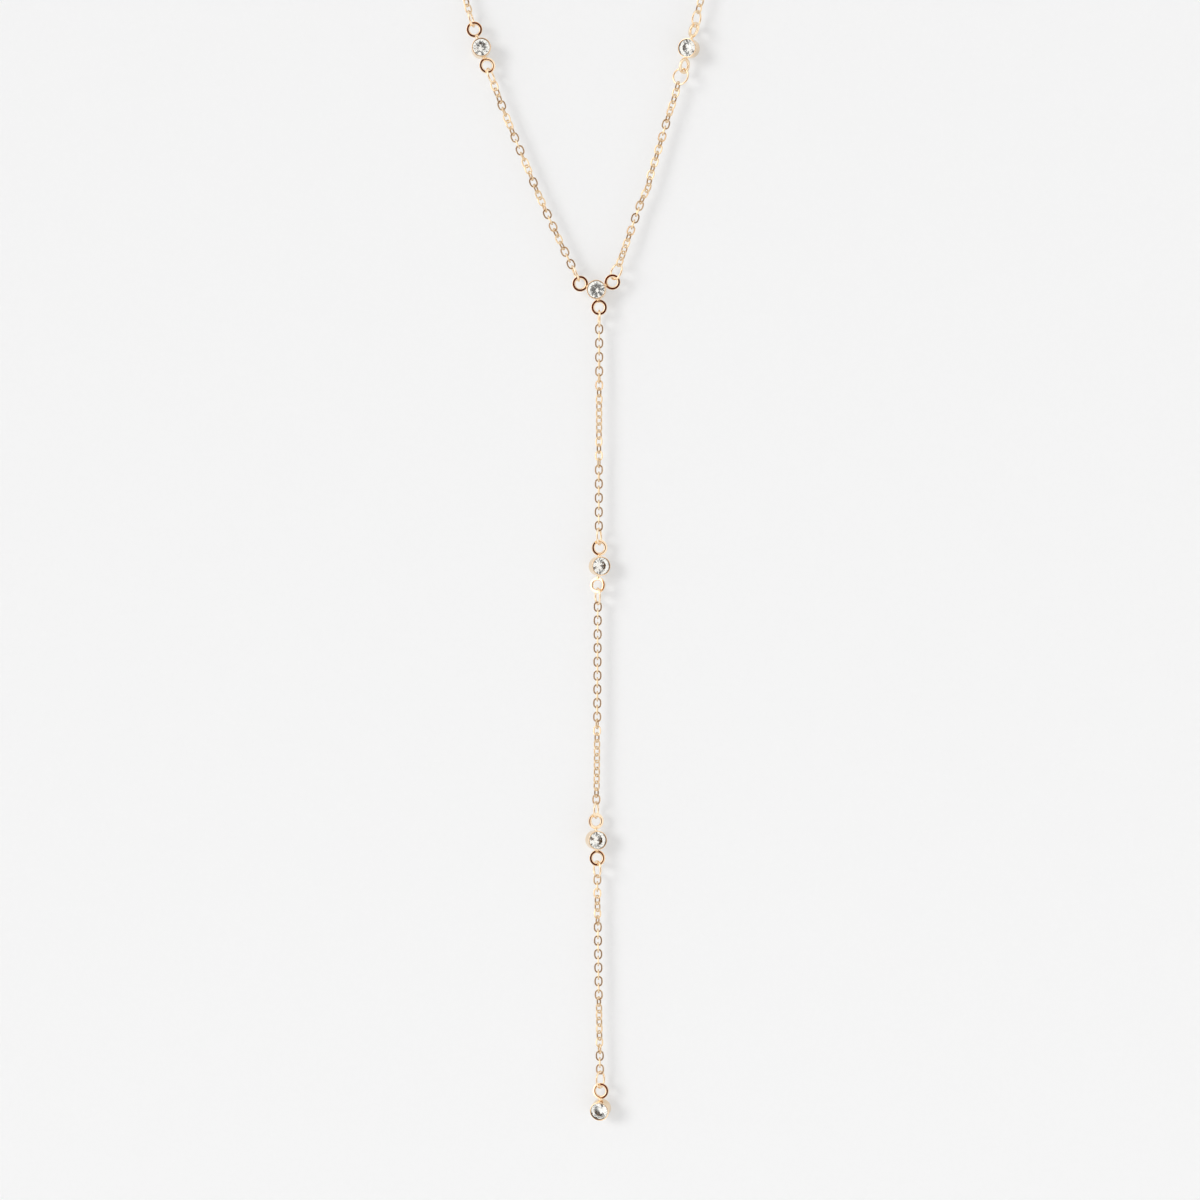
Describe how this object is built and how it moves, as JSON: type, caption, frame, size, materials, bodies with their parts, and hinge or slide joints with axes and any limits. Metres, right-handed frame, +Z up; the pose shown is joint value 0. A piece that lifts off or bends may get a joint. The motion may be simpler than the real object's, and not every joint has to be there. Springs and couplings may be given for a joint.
{
  "type": "y necklace",
  "caption": "Y necklace of fine cable chain: round stones in cup settings where the arms meet, along both arms and down a long drop.",
  "frame": {"origin": "middle of the clasp's underside at the top of the loop, where the necklace hangs", "axes": "+Z up, the loop lies in the XZ plane, the stones face -Y, +X is to the viewer's right"},
  "size_m": [0.0634, 0.0034, 0.338],
  "materials": {
    "gold": "polished pale gold plate",
    "stone": "clear faceted, mirror backed"
  },
  "bodies": {
    "root": {"left_setting": "gold", "left_stone": "stone", "left_top_ring": "gold", "left_bottom_ring": "gold", "right_setting": "gold", "right_stone": "stone", "right_top_ring": "gold", "right_bottom_ring": "gold", "y_setting": "gold", "y_stone": "stone", "y_left_ring": "gold", "y_right_ring": "gold", "y_bottom_ring": "gold", "upper_drop_setting": "gold", "upper_drop_stone": "stone", "upper_drop_top_ring": "gold", "upper_drop_bottom_ring": "gold", "lower_drop_setting": "gold", "lower_drop_stone": "stone", "lower_drop_top_ring": "gold", "lower_drop_bottom_ring": "gold", "end_setting": "gold", "end_stone": "stone", "end_ring": "gold", "left_arm_chain": "gold", "right_arm_chain": "gold", "upper_drop_chain": "gold", "middle_drop_chain": "gold", "lower_drop_chain": "gold", "left_neck_chain": "gold", "right_neck_chain": "gold", "clasp": "gold", "clasp_left_ring": "gold", "clasp_right_ring": "gold"}
  },
  "joints": []
}
